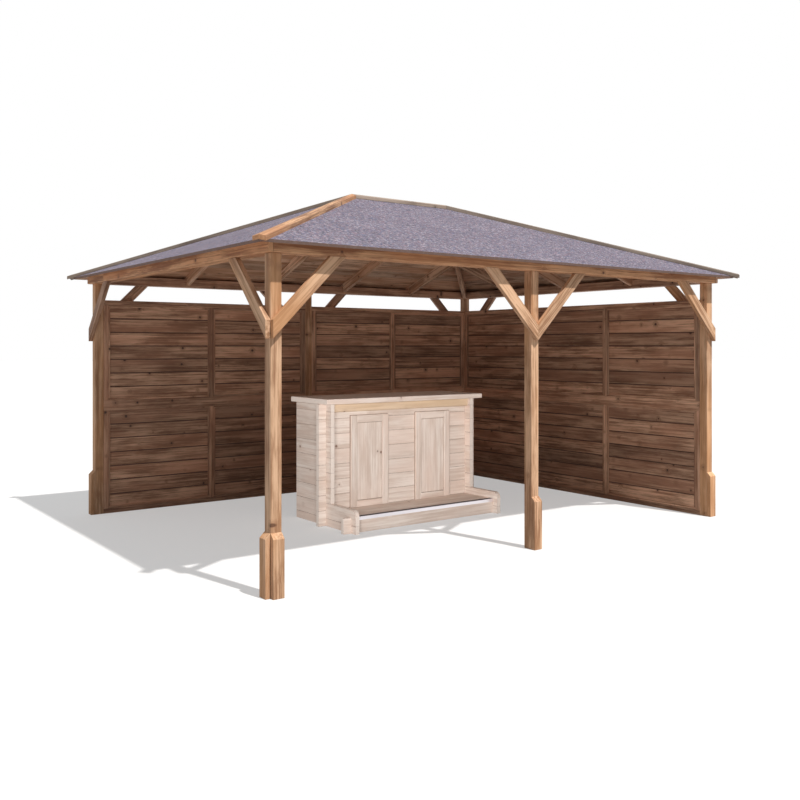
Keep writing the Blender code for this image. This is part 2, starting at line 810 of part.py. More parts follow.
def build_bar_panels():
    """Two framed panels planted on the front wall, standing on the foot rest."""
    rows = [LOG_H, LOG_H + FRAME_BOTTOM_RAIL, FRAME_TOP - FRAME_MEMBER, FRAME_TOP]
    for name, offset in (("left", 0.0), ("right", FRAME_SPACING)):
        left = BAR_LEFT + LOG_T + FRAME_FIRST + offset
        right = left + FRAME_W
        columns = [left, left + FRAME_MEMBER, right - FRAME_MEMBER, right]
        span_of = lambda i, j: (GAP, INSET_T if (i, j) == (1, 1) else FRAME_T)
        place = lambda x, z, d: Vector((x, BAR_FRONT - d, z))
        node("bar_panel_" + name, relief(columns, rows, span_of, place), (BAR_WOOD,))


def main():
    clear_scene()
    build_posts()
    build_beams()
    build_roof_sections()
    build_hips_and_ridge()
    build_felt()
    build_caps()
    build_walls()
    build_front_logs()
    build_side_logs()
    build_step_board()
    build_step_deck()
    build_step_nosing()
    build_counter()
    build_bar_panels()


main()
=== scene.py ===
"""Looks of the garden gazebo and its log bar: timbers, felt, steel nosing, floor and light."""

import json
import math
import random

import bmesh
import bpy
from mathutils import Matrix, Vector

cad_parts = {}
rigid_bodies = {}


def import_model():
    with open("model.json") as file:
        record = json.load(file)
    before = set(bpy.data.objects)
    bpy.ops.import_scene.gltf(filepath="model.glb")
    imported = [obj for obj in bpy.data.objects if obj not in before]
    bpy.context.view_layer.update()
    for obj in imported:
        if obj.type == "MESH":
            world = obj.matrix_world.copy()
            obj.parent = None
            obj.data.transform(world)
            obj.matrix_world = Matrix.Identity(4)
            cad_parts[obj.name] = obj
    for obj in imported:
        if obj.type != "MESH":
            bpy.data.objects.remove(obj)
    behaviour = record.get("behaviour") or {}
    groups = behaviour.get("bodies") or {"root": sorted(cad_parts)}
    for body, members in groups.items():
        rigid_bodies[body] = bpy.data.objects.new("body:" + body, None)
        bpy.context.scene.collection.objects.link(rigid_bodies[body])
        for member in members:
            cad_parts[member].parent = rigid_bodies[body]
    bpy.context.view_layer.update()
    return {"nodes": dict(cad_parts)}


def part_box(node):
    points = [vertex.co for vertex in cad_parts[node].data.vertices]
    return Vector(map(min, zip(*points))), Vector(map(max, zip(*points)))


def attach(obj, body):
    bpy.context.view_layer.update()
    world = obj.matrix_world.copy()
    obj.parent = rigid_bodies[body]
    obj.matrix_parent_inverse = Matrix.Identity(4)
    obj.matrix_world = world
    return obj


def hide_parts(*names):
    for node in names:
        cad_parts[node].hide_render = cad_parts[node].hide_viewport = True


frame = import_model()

# Sizes of the joinery, in metres
HALF_X = 2.295
HALF_Y = 1.755
POST = 0.080
PLANK_T = 0.036
BEAM_TOP = 2.2303
PITCH = math.radians(20.0)
EAVES = 0.127
GAP = 0.0003
RAFTER_T = 0.036
RAFTER_H = 0.095
RAFTER_TAIL = 0.012
RAFTER_SPACING = 0.920
HIP_T = 0.040
RIDGE_T = 0.036
DECK_T = 0.016
DECK_BOARDS = 14
LEFT_PLANK_JOINT = 1.330
CAP_JOINT = 1.230
WALL_T = 0.045
WALL_H = 2.000
RAIL = 0.045
STILE = 0.045
MID_RAIL = (0.965, 1.060)
WALL_BOARD = 0.124
WALL_BOARD_T = 0.014
BEAD_W = 0.018
BEAD_T = 0.012
BEAD_SETBACK = 0.004
WALL_JOINT = 0.005
LOG_H = 0.133
LOG_COURSES = 8
FRAME_MEMBER = 0.069
FRAME_RAIL = 0.056
FRAME_T = 0.022
INSET_T = 0.009
PANEL_BACK_T = 0.002
SHADOW_LINE = 0.004
STEP_BOARDS = 3
STEP_BOARD_GAP = 0.001
STEP_BEARERS = 5
STEP_DECK_T = 0.020
BEARER_T = 0.040

# How far arrises are eased, in metres, and from which angle on
EASED = 0.002
EASED_BAR = 0.0025
EASED_BEAM = 0.0025
EASED_BEAM_PLANK = 0.0045
EASED_RAFTER = 0.003
EASED_ROOF_BOARD = 0.0065
EASED_CAP = 0.003
EASED_PANEL = 0.003
EASED_WALL_BOARD = 0.0035
EASED_BEAD = 0.004
EASED_FRAME = 0.004
EASED_BEARER = 0.001
INSET_BEVEL = 0.006
EASED_FROM = math.radians(20)

# How an eased arris looks: above zero it is worn pale, and above one it also carries a painted
# highlight; below zero it is painted shade, dark as a shadowed joint
WORN_AND_HIGHLIT = 1.6
WORN = 1.0
PAINTED_SHADE_DIM = -0.8
PAINTED_SHADE_DARK = -1.0

# Distances below which corners or faces count as one, in metres
SAME_PLANE = 1e-6
SAME_PLACE = 1e-5
SAME_HEIGHT = 0.001

UP = Vector((0, 0, 1))
SIDES = {"front": Vector((0, -1, 0)), "right": Vector((1, 0, 0)),
         "rear": Vector((0, 1, 0)), "left": Vector((-1, 0, 0))}
CORNERS = {"front_left": (-1, -1), "front_right": (1, -1),
           "rear_left": (-1, 1), "rear_right": (1, 1)}
tally = random.Random(7)


# Node trees

# Places of the Mix node's colour sockets: factor, first and second colour, and the result
MIX_COLOUR_INPUTS = (0, 6, 7)
MIX_COLOUR_OUTPUT = 2


class Wire:
    """An output socket in a node tree. Arithmetic on wires adds Math nodes."""

    def __init__(self, tree, socket):
        self.tree = tree
        self.socket = socket

    def maths(self, operation, *others):
        return add(self.tree, "ShaderNodeMath", dict(enumerate((self, *others))),
                   operation=operation)

    def __add__(self, other):
        return self.maths("ADD", other)

    __radd__ = __add__

    def __sub__(self, other):
        return self.maths("SUBTRACT", other)

    def __rsub__(self, other):
        return add(self.tree, "ShaderNodeMath", {0: other, 1: self}, operation="SUBTRACT")

    def __mul__(self, other):
        return self.maths("MULTIPLY", other)

    __rmul__ = __mul__

    def __truediv__(self, other):
        return self.maths("DIVIDE", other)

    def __pow__(self, other):
        return self.maths("POWER", other)


def add(tree, kind, inputs, output=0, stops=None, **settings):
    """Add a node: its settings first, then the values or wires of its sockets."""
    made = tree.nodes.new(kind)
    for name, value in settings.items():
        setattr(made, name, value)
    if stops:
        ramp = made.color_ramp
        while len(ramp.elements) < len(stops):
            ramp.elements.new(1.0)
        for element, (position, colour) in zip(ramp.elements, stops):
            element.position = position
            element.color = colour
    for name, value in inputs.items():
        if isinstance(value, Wire):
            tree.links.new(value.socket, made.inputs[name])
        else:
            made.inputs[name].default_value = value
    return Wire(tree, made.outputs[output])


class Finish:
    """A material being built on one Principled shader."""

    def __init__(self, name, **constants):
        self.material = bpy.data.materials.new(name)
        self.material.use_nodes = True
        self.tree = self.material.node_tree
        self.shader = self.tree.nodes["Principled BSDF"]
        for socket, value in constants.items():
            self.shader.inputs[socket.replace("_", " ")].default_value = value

    def add(self, kind, inputs=(), output=0, **settings):
        return add(self.tree, kind, dict(inputs), output, **settings)

    def attribute(self, name, output="Fac"):
        return self.add("ShaderNodeAttribute", output=output, attribute_name=name)

    def place(self):
        return self.add("ShaderNodeTexCoord", output="Object")

    def vector(self, operation, *values):
        return self.add("ShaderNodeVectorMath", enumerate(values), operation=operation)

    def noise(self, where, stretch, detail=3.0, roughness=0.55):
        spot = self.vector("MULTIPLY", where, stretch)
        return self.add("ShaderNodeTexNoise", {"Vector": spot, "Scale": 1.0, "Detail": detail,
                                               "Roughness": roughness}, output="Fac")

    def cells(self, where, output):
        return self.add("ShaderNodeTexVoronoi", {"Vector": where, "Scale": 1.0}, output=output)

    def part(self, node, value, output):
        return self.add("ShaderNodeSeparate" + node, {0: value}, output=output)

    def blend(self, share, one, two, kind="MIX"):
        made = self.tree.nodes.new("ShaderNodeMix")
        made.data_type = "RGBA"
        made.blend_type = kind
        for place, value in zip(MIX_COLOUR_INPUTS, (share, one, two)):
            if isinstance(value, Wire):
                self.tree.links.new(value.socket, made.inputs[place])
            else:
                made.inputs[place].default_value = value
        return Wire(self.tree, made.outputs[MIX_COLOUR_OUTPUT])

    def between(self, value, low, high):
        """Zero at low, one at high, smooth between them."""
        return self.add("ShaderNodeMapRange", {"Value": value, "From Min": low, "From Max": high},
                        interpolation_type="SMOOTHSTEP")

    def relief(self, height, depth, strength):
        bump = self.add("ShaderNodeBump",
                        {"Height": height, "Distance": depth, "Strength": strength},
                        output="Normal")
        self.tree.links.new(bump.socket, self.shader.inputs["Normal"])

    def drive(self, socket, wire):
        self.tree.links.new(wire.socket, self.shader.inputs[socket])


def photo_colour(red, green, blue):
    """A colour as a screen shows it, 0 to 255, made linear for a shader."""
    linear = []
    for level in (red / 255, green / 255, blue / 255):
        linear.append(level / 12.92 if level < 0.0404 else ((level + 0.055) / 1.055) ** 2.4)
    return (*linear, 1.0)


# Knots: at most one in a cell, with cells per metre along, across and through the plank
KNOT_CELLS = (3.1, 8.5, 6.0)
KNOT_FLATNESS = 0.35
KNOT_LEAST = 0.004
KNOT_RANGE = 0.012
KNOT_RAGGED = 0.008

# Growth rings round a pith that lies beside and below the plank, in metres
PITH_ASIDE = 0.11
PITH_LEAST = 0.030
PITH_RANGE = 0.080
RINGS_PER_METRE = 120.0
RING_WANDER = 0.022
RING_BULGE = 0.010

# How far each plank's figure lies from the next one's
PLANK_SHIFT = (31.7, 17.3, 9.1)


def timber(name, light, dark, knot, warm, knots, figure, spread=0.26, roughness=0.68):
    """Softwood: growth rings, streaks, fibre and knots that follow each plank's own grain."""
    light, dark, knot, warm = (photo_colour(*colour) for colour in (light, dark, knot, warm))
    wood = Finish(name, Specular_IOR_Level=0.35)
    grain = wood.attribute("grain", "Vector")
    number = wood.attribute("plank")
    edge = wood.attribute("edge")
    end = wood.attribute("end")
    shift = wood.add("ShaderNodeVectorMath", {0: PLANK_SHIFT, "Scale": number}, operation="SCALE")
    spot = wood.vector("ADD", grain, shift)

    cells = wood.vector("MULTIPLY", spot, KNOT_CELLS)
    centre = wood.cells(cells, "Position")
    chance = wood.part("Color", wood.cells(cells, "Color"), "Red")
    metres = (1 / KNOT_CELLS[0], 1 / KNOT_CELLS[1], KNOT_FLATNESS / KNOT_CELLS[2])
    away = wood.vector("MULTIPLY", wood.vector("SUBTRACT", cells, centre), metres)
    ragged = wood.noise(spot, (60, 90, 60), 2.0)
    distance = wood.add("ShaderNodeVectorMath", {0: away}, output="Value", operation="LENGTH")
    distance = distance + (ragged - 0.5) * KNOT_RAGGED
    radius = chance * KNOT_RANGE + KNOT_LEAST
    present = chance.maths("GREATER_THAN", 1.0 - knots)
    heart = present * (1.0 - wood.between(distance / radius, 0.6, 1.15))
    halo = present * (1.0 - wood.between(distance / radius, 0.8, 3.4))

    across = wood.part("XYZ", grain, "Y")
    through = wood.part("XYZ", grain, "Z")
    aside = across - (number - 0.5) * PITH_ASIDE
    below = through + PITH_LEAST + (number * 7.7).maths("FRACT") * PITH_RANGE
    wander = (wood.noise(spot, (1.1, 5.0, 5.0), 2.0) - 0.5) * RING_WANDER
    rings = (aside * aside + below * below).maths("SQRT") + wander + halo * RING_BULGE
    late = (rings * RINGS_PER_METRE).maths("FRACT") ** 3.0
    streak = wood.noise(spot, (1.6, 48.0, 48.0), 5.0, 0.62) - 0.5
    cloud = wood.noise(spot, (2.3, 11.0, 11.0), 3.0) - 0.5
    fibre = wood.noise(spot, (16.0, 420.0, 420.0), 2.0) - 0.5

    tone = 0.55 + (streak * 2.3 + cloud * 1.9 + fibre * 0.8 - late * 0.32) * figure
    colour = wood.blend(wood.between(tone, 0.0, 1.0), dark, light)
    warmth = wood.between(wood.noise(spot, (0.9, 4.0, 4.0), 2.0), 0.42, 0.66)
    colour = wood.blend(warmth * 0.55, colour, warm)
    level = 1.0 - spread / 2 + number * spread
    shade = wood.add("ShaderNodeCombineColor", {0: level, 1: level, 2: level})
    colour = wood.blend(1.0, colour, shade, "MULTIPLY")
    colour = wood.blend(halo * 0.5, colour, dark)
    colour = wood.blend(heart * 0.85, colour, knot)
    worn_and_highlit_patches = wood.between(wood.noise(spot, (9.0, 30.0, 30.0), 3.0), 0.35, 0.75)
    # Arrises above zero are worn pale, with a painted highlight above one; below zero they are
    # painted shade, blended towards the knot colour
    colour = wood.blend(edge.maths("MAXIMUM", 0.0) * worn_and_highlit_patches * 0.5, colour, light)
    colour = wood.blend((edge * -0.8).maths("MAXIMUM", 0.0), colour, knot)
    sawn = wood.blend(late * 0.5, light, dark)
    colour = wood.blend(end * 0.75, colour, sawn)
    wood.drive("Base Color", colour)
    wood.drive("Roughness", roughness + fibre * 0.3 - late * 0.06 - heart * 0.12)
    wood.relief(fibre * 0.8 + streak * 0.8 - late * 0.35 + heart * 0.5, 0.0012, 0.35)
    return wood.material


# Granules, lumps of them and pale patches of the felt, per metre
FELT_CHIPS = 85
FELT_GRIT = 210
FELT_CLUMPS = 38
FELT_PATCHES = 2.3
FELT_GREYS = ((0.0, (66, 64, 74)), (0.4, (103, 99, 111)),
              (0.7, (128, 123, 134)), (1.0, (172, 165, 174)))
FELT_MAUVE = (148, 114, 126)
FELT_BLUE = (92, 101, 134)
FELT_FOLD = (138, 112, 98)


def roofing_felt():
    """Bitumen felt with a mineral surface: granules of several greys, browner at the fold."""
    felt = Finish("roofing_felt", Specular_IOR_Level=0.2)
    place = felt.place()
    chips = felt.cells(felt.vector("MULTIPLY", place, (FELT_CHIPS,) * 3), "Color")
    chip = felt.part("Color", chips, "Red")
    tint = felt.part("Color", chips, "Green")
    grit = felt.noise(place, (FELT_GRIT,) * 3, 2.0) - 0.5
    clump = felt.noise(place, (FELT_CLUMPS,) * 3, 2.0) - 0.5
    patch = felt.noise(place, (FELT_PATCHES,) * 3, 4.0) - 0.5
    tone = chip * 0.7 + 0.15 + grit * 1.1 + clump * 1.2 + patch * 0.3
    greys = [(position, photo_colour(*grey)) for position, grey in FELT_GREYS]
    colour = felt.add("ShaderNodeValToRGB", {0: tone}, stops=greys)
    mauve = felt.between(tint, 0.6, 0.95)
    colour = felt.blend(mauve * 0.45, colour, photo_colour(*FELT_MAUVE))
    blue = 1.0 - felt.between(tint, 0.05, 0.4)
    colour = felt.blend(blue * 0.45, colour, photo_colour(*FELT_BLUE))
    colour = felt.blend(felt.attribute("end") * 0.8, colour, photo_colour(*FELT_FOLD))
    felt.drive("Base Color", colour)
    felt.drive("Roughness", 0.88 + chip * 0.1)
    felt.relief(grit, 0.0008, 0.4)
    return felt.material


STEEL = (236, 233, 238)
STEEL_TOP_PAINTED_DARK = (70, 64, 68)


def nosing_steel():
    """Bright folded steel, brushed along its length and scuffed, with its top face painted dark as
    a painted reflection.
    """
    steel = Finish("nosing_steel")
    place = steel.place()
    brushed = steel.noise(place, (3.0, 900.0, 900.0), 2.0) - 0.5
    scuffs = steel.between(steel.noise(place, (14.0, 60.0, 60.0), 4.0), 0.52, 0.74)
    # The top face is painted dark, duller and less metallic: a painted dark reflection
    painted_dark_top = steel.attribute("end")
    steel.drive("Base Color", steel.blend(painted_dark_top, photo_colour(*STEEL), photo_colour(*STEEL_TOP_PAINTED_DARK)))
    steel.drive("Metallic", 1.0 - painted_dark_top * 0.5)
    steel.drive("Roughness", 0.34 + brushed * 0.12 + scuffs * 0.18 + painted_dark_top * 0.3)
    steel.relief(brushed, 0.0002, 0.25)
    return steel.material


# For each timber: its light, dark, knot and warm colour, the share of cells with a knot, the
# figure's strength, and where they aren't the usual ones, how far planks differ and roughness
TIMBERS = {
    "post": ((229, 188, 153), (158, 115, 84), (92, 58, 40), (214, 158, 110), 0.5, 1.1),
    "beam": ((226, 176, 134), (146, 98, 68), (80, 50, 36), (192, 132, 90), 0.55, 1.2),
    "wall": ((218, 176, 147), (130, 93, 71), (50, 33, 27), (190, 139, 112), 0.75, 1.0, 0.6),
    "roof": ((222, 186, 158), (136, 98, 75), (52, 36, 28), (188, 140, 110), 0.55, 1.2, 0.5),
    # A paler copy of the roof timber, painted light, for the rear slope's underside
    "pale_roof": ((236, 202, 174), (158, 116, 88), (60, 42, 32), (208, 158, 124),
                  0.55, 1.2, 0.5),
    "cap": ((200, 158, 122), (124, 88, 64), (70, 46, 34), (186, 132, 92), 0.4, 1.2),
    "grey_cap": ((156, 142, 129), (112, 99, 90), (70, 56, 48), (140, 123, 109), 0.4, 1.0),
    "pale_cap": ((166, 149, 136), (122, 108, 97), (78, 62, 53), (152, 133, 118), 0.4, 1.0),
    "bar": ((234, 222, 212), (206, 186, 172), (120, 88, 72), (230, 208, 194),
            0.34, 0.8, 0.10, 0.6),
    # The apron: the bar's timber made yellower, and darker as painted shade under the counter
    "apron": ((230, 206, 180), (200, 172, 144), (120, 84, 66), (222, 194, 160),
              0.3, 0.8, 0.10, 0.6),
}
FINISHES = {name: timber(name + "_timber", *values) for name, values in TIMBERS.items()}
FINISHES["felt"] = roofing_felt()
FINISHES["steel"] = nosing_steel()


# Rows of planks

def plank_row_tree():
    """Planks that lie along X, side by side along Y, with their grain and a number for each."""
    tree = bpy.data.node_groups.new("plank row", "GeometryNodeTree")
    sockets = {"Length": "Float", "Width": "Float", "Thickness": "Float", "Pitch": "Float",
               "Count": "Int", "Seed": "Int", "Finish": "Material"}
    for name, kind in sockets.items():
        tree.interface.new_socket(name=name, in_out="INPUT", socket_type="NodeSocket" + kind)
    tree.interface.new_socket(name="Planks", in_out="OUTPUT", socket_type="NodeSocketGeometry")
    given = tree.nodes.new("NodeGroupInput")
    size = {socket.name: Wire(tree, socket) for socket in given.outputs if socket.name}
    extent = add(tree, "ShaderNodeCombineXYZ",
                 {0: size["Length"], 1: size["Width"], 2: size["Thickness"]})
    plank = add(tree, "GeometryNodeMeshCube", {"Size": extent})
    where = add(tree, "GeometryNodeInputPosition", {})
    plank = add(tree, "GeometryNodeStoreNamedAttribute",
                {"Geometry": plank, "Name": "grain", "Value": where},
                data_type="FLOAT_VECTOR", domain="POINT")
    middle = add(tree, "ShaderNodeVectorMath", {0: extent, 1: (0.5, 0.5, 0.5)},
                 operation="MULTIPLY")
    plank = add(tree, "GeometryNodeTransform", {"Geometry": plank, "Translation": middle})
    step = add(tree, "ShaderNodeCombineXYZ", {1: size["Pitch"]})
    line = add(tree, "GeometryNodeMeshLine", {"Count": size["Count"], "Offset": step},
               mode="OFFSET")
    row = add(tree, "GeometryNodeInstanceOnPoints", {"Points": line, "Instance": plank})
    number = add(tree, "FunctionNodeRandomValue", {"Seed": size["Seed"]}, output=1,
                 data_type="FLOAT")
    row = add(tree, "GeometryNodeStoreNamedAttribute",
              {"Geometry": row, "Name": "plank", "Value": number},
              data_type="FLOAT", domain="INSTANCE")
    row = add(tree, "GeometryNodeRealizeInstances", {"Geometry": row})
    row = add(tree, "GeometryNodeSetMaterial", {"Geometry": row, "Material": size["Finish"]})
    result = tree.nodes.new("NodeGroupOutput")
    tree.links.new(row.socket, result.inputs[0])
    return tree


PLANK_ROW = plank_row_tree()
ROW_SOCKETS = {item.name: item.identifier for item in PLANK_ROW.interface.items_tree
               if item.in_out == "INPUT"}


def plank_row(length, width, thickness, count=1, pitch=0.0):
    """A row of planks as one bmesh, its first corner at the origin."""
    holder = bpy.data.objects.new("row", bpy.data.meshes.new("row"))
    bpy.context.scene.collection.objects.link(holder)
    step = holder.modifiers.new("row", "NODES")
    step.node_group = PLANK_ROW
    for name, value in (("Length", length), ("Width", width), ("Thickness", thickness),
                        ("Pitch", pitch), ("Count", count), ("Seed", tally.randrange(10000))):
        step[ROW_SOCKETS[name]] = value
    bpy.context.view_layer.update()
    depsgraph = bpy.context.evaluated_depsgraph_get()
    mesh = bpy.data.meshes.new_from_object(holder.evaluated_get(depsgraph))
    row = bmesh.new()
    row.from_mesh(mesh)
    bpy.data.objects.remove(holder)
    bpy.data.meshes.remove(mesh)
    return row


# Solids

def turned(solid, origin, along, across, through):
    """Put a solid made along X, Y and Z on three other axes."""
    axes = Matrix((along, across, through)).transposed()
    solid.transform(Matrix.Translation(origin) @ axes.to_4x4())
    if axes.determinant() < 0:
        bmesh.ops.reverse_faces(solid, faces=solid.faces)
    solid.normal_update()
    return solid


def trimmed(solid, planes):
    """Cut the solid by planes given as (point, outward normal) and close each cut."""
    for point, normal in planes:
        geometry = solid.verts[:] + solid.edges[:] + solid.faces[:]
        bmesh.ops.bisect_plane(solid, geom=geometry, plane_co=point, plane_no=normal,
                               dist=SAME_PLANE, clear_outer=True)
        rim = [edge for edge in solid.edges if edge.is_boundary]
        for lid in bmesh.ops.holes_fill(solid, edges=rim, sides=0)["faces"]:
            lid.normal_update()
            if lid.normal.dot(normal) < 0:
                lid.normal_flip()
    solid.normal_update()
    return solid


def split(solid, planes):
    """The slices of a solid between planes that face the same way, in their order."""
    slices = []
    for point, normal in planes:
        slices.append(trimmed(solid.copy(), [(point, normal)]))
        solid = trimmed(solid, [(point, -normal)])
    return slices + [solid]


def node_solid(name):
    """A copy of a node's solid with its flat faces whole again."""
    solid = bmesh.new()
    solid.from_mesh(frame["nodes"][name].data)
    for layer in list(solid.loops.layers.uv):
        solid.loops.layers.uv.remove(layer)
    bmesh.ops.remove_doubles(solid, verts=solid.verts, dist=SAME_PLACE)
    bmesh.ops.dissolve_limit(solid, angle_limit=math.radians(0.5),
                             verts=solid.verts, edges=solid.edges)
    solid.normal_update()
    return solid


class Piece:
    """A visible piece under way: planks are added one by one, each eased and with its own grain."""

    def __init__(self, name, finish, *nodes):
        self.name = name
        self.finish = finish
        self.nodes = nodes
        self.points = []
        self.faces = []
        self.marks = {"grain": [], "plank": [], "edge": [], "end": [], "smooth": []}

    def add(self, solid, rounding=EASED, edge=WORN, marked=None):
        """Add a plank, or a row of them, with its arrises eased: worn pale, given a painted
        highlight, or painted dark as shade, as edge says.

        Planks painted dark as shade with no easing are painted dark all over. Marked picks the
        faces that the finish shows as ends; without it they are the planks' sawn ends.
        """
        if not solid.verts.layers.float_vector.get("grain"):
            self.lay_grain(solid)
        numbers = solid.verts.layers.float["plank"]
        grains = solid.verts.layers.float_vector["grain"]
        ends = solid.faces.layers.float.new("end")
        for face in solid.faces:
            face[ends] = 1.0 if (marked or self.is_end)(face, grains) else 0.0
            face.smooth = False
        eased = solid.faces.layers.float.new("edge")
        if rounding:
            arrises = [arris for arris in solid.edges if arris.is_manifold and arris.is_convex
                       and arris.calc_face_angle() > EASED_FROM]
            made = bmesh.ops.bevel(solid, geom=arrises, offset=rounding, segments=2, profile=0.5,
                                   affect="EDGES", clamp_overlap=True)
            for face in made["faces"]:
                face[eased] = edge
                face[ends] = 0.0
                face.smooth = True
        elif edge < 0:
            for face in solid.faces:
                face[eased] = edge
        start = len(self.points)
        solid.verts.index_update()
        for vert in solid.verts:
            self.points.append(tuple(vert.co))
            self.marks["grain"].extend(vert[grains])
            self.marks["plank"].append(vert[numbers])
        for face in solid.faces:
            self.faces.append([start + vert.index for vert in face.verts])
            self.marks["edge"].append(face[eased])
            self.marks["end"].append(face[ends])
            self.marks["smooth"].append(face.smooth)
        solid.free()
        return self

    @staticmethod
    def is_end(face, grains):
        values = [vert[grains].x for vert in face.verts]
        return max(values) - min(values) < SAME_PLACE and face.calc_area() > 0

    @staticmethod
    def lay_grain(solid):
        """Grain along the plank's longest edge, and through it square to its largest face."""
        longest = max(solid.edges, key=lambda edge: edge.calc_length())
        along = (longest.verts[1].co - longest.verts[0].co).normalized()
        largest = max(solid.faces, key=lambda face: face.calc_area())
        through = (largest.normal - along * largest.normal.dot(along)).normalized()
        across = through.cross(along)
        middle = sum((vert.co for vert in solid.verts), Vector()) / len(solid.verts)
        grains = solid.verts.layers.float_vector.new("grain")
        numbers = solid.verts.layers.float.new("plank")
        number = tally.random()
        for vert in solid.verts:
            offset = vert.co - middle
            vert[grains] = Vector((offset.dot(along), offset.dot(across), offset.dot(through)))
            vert[numbers] = number

    def done(self):
        mesh = bpy.data.meshes.new(self.name)
        mesh.from_pydata(self.points, [], self.faces)
        for name, kind, domain, field in (("grain", "FLOAT_VECTOR", "POINT", "vector"),
                                          ("plank", "FLOAT", "POINT", "value"),
                                          ("edge", "FLOAT", "FACE", "value"),
                                          ("end", "FLOAT", "FACE", "value")):
            mesh.attributes.new(name, kind, domain).data.foreach_set(field, self.marks[name])
        mesh.polygons.foreach_set("use_smooth", self.marks["smooth"])
        mesh.materials.append(FINISHES[self.finish])
        mesh.update()
        made = bpy.data.objects.new(self.name, mesh)
        bpy.context.scene.collection.objects.link(made)
        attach(made, "root")
        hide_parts(*self.nodes)
        return made


# Posts, braces and beams

def dress_plain_timbers():
    """Timbers that are one plank each keep their solids, eased and with grain."""
    plain = (("brace_rear", "wall", EASED), ("post_", "post", EASED),
             ("foot_block_", "post", EASED), ("brace_", "post", EASED),
             ("hip_rafter_", "roof", EASED_RAFTER), ("ridge_beam", "roof", EASED_RAFTER),
             ("counter_top", "bar", EASED_BAR), ("step_board", "bar", EASED_BAR),
             ("counter_apron", "apron", EASED_BAR))
    for name in frame["nodes"]:
        for start, finish, rounding in plain:
            if name.startswith(start):
                Piece("dressed_" + name, finish, name).add(node_solid(name), rounding).done()
                break


def dress_beams():
    """Each beam is a plate and the plank on its outer face; the left plank is in two lengths."""
    for name, outward in SIDES.items():
        half = HALF_Y if name in ("front", "rear") else HALF_X
        plate, plank = split(node_solid("beam_" + name), [(outward * half, outward)])
        finish = "wall" if name in ("rear", "right") else "beam"
        beam = Piece("dressed_beam_" + name, finish, "beam_" + name)
        beam.add(plate, EASED_BEAM)
        lengths = [plank]
        if name == "left":
            lengths = split(plank, [(Vector((0, LEFT_PLANK_JOINT, 0)), Vector((0, 1, 0)))])
        for length in lengths:
            # The planks' arrises are worn pale and also painted pale as a highlight along them
            beam.add(length, EASED_BEAM_PLANK, WORN_AND_HIGHLIT)
        beam.done()


# Roof

def roof_z(inset):
    """Height of the rafters' upper face, at a distance in from the posts' outer faces."""
    return BEAM_TOP + (inset + PLANK_T) * math.tan(PITCH)


class Slope:
    """One of the four roof slopes: a runs along the eaves, v up the slope, w out of it."""

    def __init__(self, side):
        self.outward = SIDES[side]
        self.along = UP.cross(self.outward)
        self.long = side in ("front", "rear")
        self.half = HALF_Y if self.long else HALF_X
        self.half_along = HALF_X if self.long else HALF_Y
        self.up = -self.outward * math.cos(PITCH) + UP * math.sin(PITCH)
        self.normal = self.outward * math.sin(PITCH) + UP * math.cos(PITCH)
        self.base = self.outward * (self.half + EAVES) + UP * roof_z(-EAVES)
        self.length = (HALF_Y + EAVES) / math.cos(PITCH)

    def point(self, a, v, w):
        return self.base + self.along * a + self.up * v + self.normal * w

    def bounds(self, off_hip, off_ridge):
        """Upright planes along the two hips and the ridge, at distances on the slope's side."""
        planes = []
        for sign in (-1, 1):
            normal = (self.along * sign - self.outward).normalized()
            corner = (self.outward * (self.half + EAVES)
                      + self.along * sign * (self.half_along + EAVES))
            planes.append((corner - normal * off_hip, normal))
        if self.long:
            planes.append((self.outward * off_ridge, -self.outward))
        return planes


def dress_roof_section(side):
    """Boards with grooved joints underneath, on the slope's rafters; the boards' arrises are
    painted dark as shade in the joints.
    """
    slope = Slope(side)
    # The rear slope takes the paler copy of the roof timber: painted light
    finish = "pale_roof" if side == "rear" else "roof"
    section = Piece("dressed_roof_section_" + side, finish, "roof_section_" + side)
    reach = slope.half_along + EAVES + DECK_T
    board = slope.length / DECK_BOARDS
    boards = plank_row(2 * reach, board, DECK_T, DECK_BOARDS, board)
    turned(boards, slope.point(-reach, 0, GAP), slope.along, slope.up, slope.normal)
    # The boards' arrises are painted dark: painted shade in the joints
    section.add(trimmed(boards, slope.bounds(GAP / 2, GAP / 2)), EASED_ROOF_BOARD, PAINTED_SHADE_DARK)

    count = round(2 * slope.half_along / RAFTER_SPACING) - 1
    spacing = 2 * slope.half_along / (count + 1)
    cuts = slope.bounds(HIP_T / 2 + GAP, RIDGE_T / 2 + GAP)
    inward = -slope.outward
    heel = slope.outward * (slope.half - POST - GAP)
    tail = slope.outward * (slope.half - RAFTER_TAIL)
    seat = UP * (BEAM_TOP + GAP)
    for ends in ([(heel, slope.outward)], [(tail, slope.outward), (heel, inward), (seat, -UP)]):
        origin = slope.point(-slope.half_along + spacing - RAFTER_T / 2, 0, -RAFTER_H)
        for k in range(count):
            rafter = plank_row(slope.length, RAFTER_H, RAFTER_T)
            turned(rafter, origin + slope.along * spacing * k, slope.up, slope.normal, slope.along)
            rafter = trimmed(rafter, ends + cuts)
            if rafter.faces:
                section.add(rafter)
    section.done()


